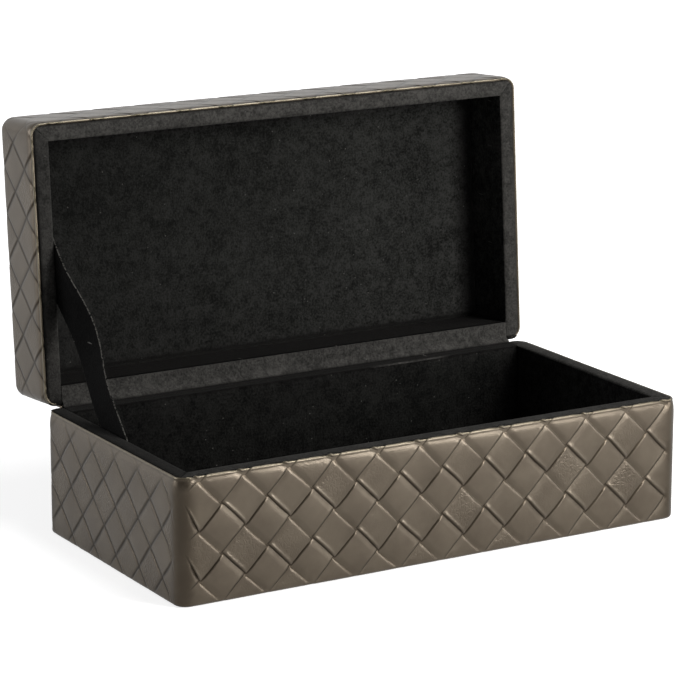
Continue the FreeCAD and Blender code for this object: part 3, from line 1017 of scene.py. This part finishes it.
def paintShade(node, half, kindName, co, low, high):  # painted shade, where less light falls
    laid = np.full(len(co), paintedShadeOf.get(node, 0.0))
    if node == "lid_panel_pad":          # painted shade, darker towards the left, with a painted shadow along its right end
        laid = paintedShadeLook["panel"] * np.clip(0.5 - 0.5 * co[:, 0] / high[0], 0, 1) ** 0.5
        end = np.clip(1 - (high[0] - co[:, 0]) / paintedShadeLook["panelReach"], 0, 1)
        laid = np.maximum(laid, paintedShadeLook["panelEnd"] * end)
    if kindName.endswith("pad"):
        fromEdge = np.minimum(high[:2] - co[:, :2], co[:, :2] - low[:2]).min(1)
        laid = np.maximum(laid, np.clip(1 - fromEdge / paintedShadeLook["gapReach"], 0, 1))
    if kindName == "rim":
        fromSide = box["length"] / 2 - abs(co[:, 0])
        fromFront = box["depth"] / 2 - abs(co[:, 1] + toMiddle[half])
        outer = np.minimum(fromSide, fromFront) - rimEdge["velvetStart"]
        reach = paintedShadeLook["rimReach"].get(node, paintedShadeLook["rimReachElse"])
        laid = np.maximum(laid, paintedShadeLook["rimShade"] * np.clip(1 - outer / reach, 0, 1))
    return laid


def velvetPiece(node, half, axis, sign, kindName, seed):
    kind = velvetKinds[kindName]
    low, high = nodeBox(node, places[half])
    words = node.split("_")
    name = words[0] + "".join(word.title() for word in words[1:])
    slab = softSlab(name, low, high, axis, sign, kind, seed)
    if kindName == "rim":
        shapeRim(slab, half, words[1] == "front")
    paint(slab, laid=paintShade(node, half, kindName, points(slab), low, high))
    finishPiece(slab, half, kind["finish"], node, 60)


wallsFacing = {"front": (1, 1), "back": (1, -1), "left": (0, 1), "right": (0, -1)}
seed = 20
rimSeeds = 40                    # a rim strip's seed is this much past its wall's
for half, rimFacing in (("base", 1), ("lid", -1)):
    for wallName, (axis, sign) in wallsFacing.items():
        seed += 1
        velvetPiece(f"{half}_{wallName}_liner", half, axis, sign, "liner", seed)
        if wallName != "back":
            velvetPiece(f"{half}_{wallName}_rim", half, 2, rimFacing, "rim", seed + rimSeeds)
velvetPiece("base_floor_pad", "base", 2, 1, "floor_pad", 71)
velvetPiece("lid_panel_pad", "lid", 2, -1, "panel_pad", 72)
print("velvet lining made")


# Strips bent across the hinge, and the ribbon that stops the lid
bentMesh = dict(along=140, leg=6, bend=7)  # mesh lines along a strip, and across each leg and its bend


def onLid(reach, depth):  # a side view point by its distance along the lid's rim and its depth into the lid
    p = lidPlace @ Vector((0, -reach, depth))
    return p.y, p.z


def onBase(back, drop):
    return hinge.y - back, hinge.z - drop


def bentSheet(name, look, halfLength, legs, corner):
    # a strip drawn along X, from one leg round the hinge's corner to the other, that follows both halves
    bend = []
    a, b, c = (np.array(p) for p in (legs[0][-1], corner, legs[1][0]))
    for share in np.linspace(0, 1, bentMesh["bend"])[1:-1]:
        bend.append(tuple((1 - share) ** 2 * a + 2 * share * (1 - share) * b + share ** 2 * c))
    path = legs[0] + bend + legs[1]
    strip = addGrid(name, bentMesh["along"], len(path) - 1)
    co = points(strip)
    step = np.round((co[:, 1] + 1) / 2 * (len(path) - 1)).astype(int)
    route = np.array(path)
    setPoints(strip, np.stack([co[:, 0] * halfLength, route[step, 0], route[step, 1]], 1))
    applyModifier(strip, "SOLIDIFY", thickness=look["thick"], offset=0)
    faceOutwards(strip)
    smooth(strip, 60)
    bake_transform(strip)
    return strip


hingeCloth = dict(
    thick=0.8 * mm,
    inset=10.4 * mm,
    level=1.0 * mm,
    bend=2.2 * mm,               # from the hinge line to where it leaves the rims
    corner=(0.9 * mm, 0.1 * mm),
    blendFrom=(-2 * mm, -1 * mm),  # from the hinge line, in Y and Z
    blendTo=(1 * mm, 2 * mm),
    laid=(0.92, 0.22),           # painted shade on the base's half, in the lid's shadow, and on the lid's half
    paintedShadeTop=0.5 * mm,            # over the hinge line, where the lid's share of painted shade starts
    paintedShadeEase=1 * mm,
    worn=dict(start=9.2 * mm, ease=0.6 * mm, middle=68 * mm, fade=12 * mm, fades=2.2, share=0.8),  # painted highlight: less painted shade along part of the base half's inner edge
)


def makeHingeCloth():
    look = hingeCloth
    _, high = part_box("inner_hinge_cloth")
    reaches = np.linspace(look["bend"], look["inset"], bentMesh["leg"])
    backs = np.linspace(look["inset"], look["bend"], bentMesh["leg"])
    level = look["level"]
    legs = [onBase(back, level) for back in backs], [onLid(reach, level) for reach in reaches]
    cloth = bentSheet("innerHingeCloth", look, high.x, legs, onBase(*look["corner"]))
    co = points(cloth)
    worn = look["worn"]
    below = np.clip((hinge.z + look["paintedShadeTop"] - co[:, 2]) / look["paintedShadeEase"], 0, 1)
    inner = np.clip((hinge.y - co[:, 1] - worn["start"]) / worn["ease"], 0, 1)
    lit = inner * np.clip(worn["fades"] - abs(co[:, 0] - worn["middle"]) / worn["fade"], 0, 1)
    onBaseShade, onLidShade = look["laid"]
    paint(cloth, laid=np.maximum(onBaseShade * below * (1 - worn["share"] * lit), onLidShade))
    return dress(cloth, "rim_velvet", "inner_hinge_cloth")


hingeStrip = dict(
    thick=0.8 * mm,
    reach=13 * mm,
    bend=1.2 * mm,
    corner=0.4 * mm,
    blendFrom=(0, -1.5 * mm),
    blendTo=(1.5 * mm, 0),
)


def makeHingeStrip():
    look = hingeStrip
    _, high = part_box("outer_hinge_strip")
    out = -look["thick"] / 2
    drops = np.linspace(look["reach"], look["bend"], bentMesh["leg"])
    depths = np.linspace(look["bend"], look["reach"], bentMesh["leg"])
    legs = [onBase(out, drop) for drop in drops], [onLid(out, depth) for depth in depths]
    strip = bentSheet("outerHingeStrip", look, high.x, legs, onBase(out, look["corner"]))
    return dress(strip, "leather", "outer_hinge_strip")


stay = dict(
    width=22 * mm,
    thick=0.7 * mm,
    baseBack=58 * mm,            # from the hinge to where it leaves the base
    lidReach=68 * mm,            # from the hinge to where it enters the lid
    lead=4 * mm,                 # glued end starts this far inside
    tab=20 * mm,
    bow=(2.4 * mm, 5.2 * mm),    # how far its back and front edges bow away from the wall
    bowFrom=18 * mm,
    bowTo=104 * mm,
    clear=0.5 * mm,              # middle of the ribbon off the wall
    # painted shade over the whole ribbon
    laid=0.6,
    frayed=(1.0, 0.5),           # painted highlight on its front and back edges
    hem=0.965,                   # share of the width inside the edges with the painted highlight
    cuts=(12, 90),               # mesh lines across and along
)


def makeStay():
    look = stay
    low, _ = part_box("stay_ribbon")
    foot = np.array(onBase(look["baseBack"], 0))
    head = np.array(onLid(look["lidReach"], 0))
    run = (head - foot) / np.linalg.norm(head - foot)
    span = np.linalg.norm(head - foot) + 2 * look["lead"]
    total = span + 2 * look["tab"]
    ribbon = addGrid("stayRibbon", *look["cuts"])
    co = points(ribbon)
    out = np.interp(abs(co[:, 0]), [0, 1 - 2 / look["cuts"][0], 1], [0, look["hem"], 1])
    across = np.sign(co[:, 0]) * out * look["width"] / 2
    along = (co[:, 1] + 1) / 2 * total - look["tab"]
    share = np.clip((along - look["bowFrom"]) / (look["bowTo"] - look["bowFrom"]), 0, 1)
    toFront = 0.5 - across / look["width"]
    bow = (look["bow"][0] * (1 - toFront) + look["bow"][1] * toFront) * np.sin(share * math.pi) ** 2
    x = low.x + look["clear"] + bow
    side = np.array([run[1], -run[0]])       # towards the back of the box
    y = foot[0] + run[0] * (along - look["lead"]) + side[0] * across
    z = foot[1] + run[1] * (along - look["lead"]) + side[1] * across
    setPoints(ribbon, np.stack([x, y, z], 1))
    atFront, atBack = look["frayed"]
    frayed = np.where(out > (look["hem"] + 1) / 2, np.where(co[:, 0] < 0, atFront, atBack), 0.0)
    paint(ribbon, laid=np.full(len(co), look["laid"]), frayed=frayed)
    applyModifier(ribbon, "SOLIDIFY", thickness=look["thick"], offset=0)
    faceOutwards(ribbon)
    smooth(ribbon, 60)
    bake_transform(ribbon)
    return dress(ribbon, "ribbon", "stay_ribbon")


makeHingeCloth()
makeHingeStrip()
makeStay()
print("hinge strips and ribbon made")

feltKind = dict(spacing=4 * mm, edge=0.25 * mm, crown=0, swell=0)


def makeFelt():
    low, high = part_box("underside_sheet")
    felt = softSlab("undersideFelt", np.array(low), np.array(high), 2, -1, feltKind, 5)
    finishPiece(felt, "base", "felt", "underside_sheet")


makeFelt()
for name, node in frame["nodes"].items():
    finish = name.split("_")[-1]
    if finish in ("board", "card"):
        node.data.materials.clear()
        node.data.materials.append(finishes[finish])
print("felt and boards dressed")


# Camera, floor and light
def aim(obj, place, target):  # puts a camera or a lamp in the scene
    bpy.context.scene.collection.objects.link(obj)
    obj.location = place
    look = Vector(target) - obj.location
    obj.rotation_euler = look.to_track_quat("-Z", "Y").to_euler()


camera = dict(
    place=(-0.8163, -1.3598, 0.4969),
    target=(-0.0084, 0.0111, 0.0999),
    lens=165.2,
    sensor=36,
    clipEnd=100,
)


def makeCamera():
    data = bpy.data.cameras.new("camera")
    data.lens = camera["lens"]
    data.sensor_width = camera["sensor"]
    data.clip_end = camera["clipEnd"]
    obj = bpy.data.objects.new("camera", data)
    aim(obj, camera["place"], camera["target"])
    bpy.context.scene.camera = obj


floorLook = dict(
    size=30,
    colour=(0.62, 0.62, 0.62, 1),
    roughness=0.9,
    gloss=0.1,
    reach=(0.3, 0.9),            # from the box, where the floor's own light grows
    lift=(0.7, 1),
    mirrored=0.5,                # share of that light in the leather's reflections
)


def makeFloor():
    look = floorLook
    bpy.ops.object.select_all(action="DESELECT")
    bpy.ops.mesh.primitive_plane_add(size=look["size"])
    floor = named("floor")
    material, tree, shader = newMaterial("floor")
    shader.inputs["Base Color"].default_value = look["colour"]
    shader.inputs["Roughness"].default_value = look["roughness"]
    shader.inputs["Specular IOR Level"].default_value = look["gloss"]
    shader.inputs["Emission Color"].default_value = (1, 1, 1, 1)
    path = addNode(tree, "LightPath").outputs
    mirrored = math2(tree, "MULTIPLY", path["Is Glossy Ray"], look["mirrored"])
    seen = math2(tree, "MAXIMUM", path["Is Camera Ray"], mirrored)
    distance = addNode(tree, "VectorMath", operation="LENGTH")
    tree.links.new(objectPlace(tree), distance.inputs[0])
    lift = spread(tree, distance.outputs["Value"], look["reach"], look["lift"])
    tree.links.new(math2(tree, "MULTIPLY", seen, lift), shader.inputs["Emission Strength"])
    floor.data.materials.append(material)


lamps = dict(
    key=dict(place=(0.45, -0.80, 0.41), size=0.4, tall=0.65, power=12.5, colour=(1, 0.99, 0.97)),
    right=dict(place=(1.9, -0.9, 0.6), size=0.7, tall=0.7, power=18, colour=(1, 0.98, 0.95)),
    top=dict(place=(0.4, -0.6, 1.9), size=0.8, tall=0.8, power=16, colour=(1, 1, 1)),
    left=dict(place=(-2.0, 0.9, 0.7), size=1.6, tall=1.6, power=35, colour=(0.97, 0.98, 1)),
)
lampTarget = (0, 0, 0.08)
worldLight = dict(
    object=0.14,                 # on the object
    front=0.3,                   # of the dim room that it mirrors in front
    turn=(-0.3, 0.2),            # directions in Y between which that brightens to the white behind
)


def makeLamps():
    for name, lamp in lamps.items():
        data = bpy.data.lights.new(name, "AREA")
        data.shape = "ELLIPSE"
        data.size = lamp["size"]
        data.size_y = lamp["tall"]
        data.energy = lamp["power"]
        data.color = lamp["colour"]
        aim(bpy.data.objects.new(name, data), lamp["place"], lampTarget)


def makeWorld():
    world = bpy.data.worlds.new("studio")
    world.use_nodes = True
    bpy.context.scene.world = world
    tree = world.node_tree
    background = tree.nodes["Background"]
    background.inputs["Color"].default_value = (1, 1, 1, 1)
    path = addNode(tree, "LightPath").outputs
    split = addNode(tree, "SeparateXYZ")
    tree.links.new(addNode(tree, "TexCoord").outputs["Generated"], split.inputs["Vector"])
    behind = spread(tree, split.outputs["Y"], worldLight["turn"], (worldLight["front"], 1))
    mirrored = math2(tree, "MULTIPLY", path["Is Glossy Ray"], behind)
    seen = math2(tree, "MAXIMUM", path["Is Camera Ray"], path["Is Transmission Ray"])
    seen = math2(tree, "MAXIMUM", seen, mirrored)
    strength = math2(tree, "MAXIMUM", seen, worldLight["object"])
    tree.links.new(strength, background.inputs["Strength"])


makeCamera()
makeFloor()
makeLamps()
makeWorld()
bpy.context.scene.view_settings.view_transform = "Standard"
print("scene ready")
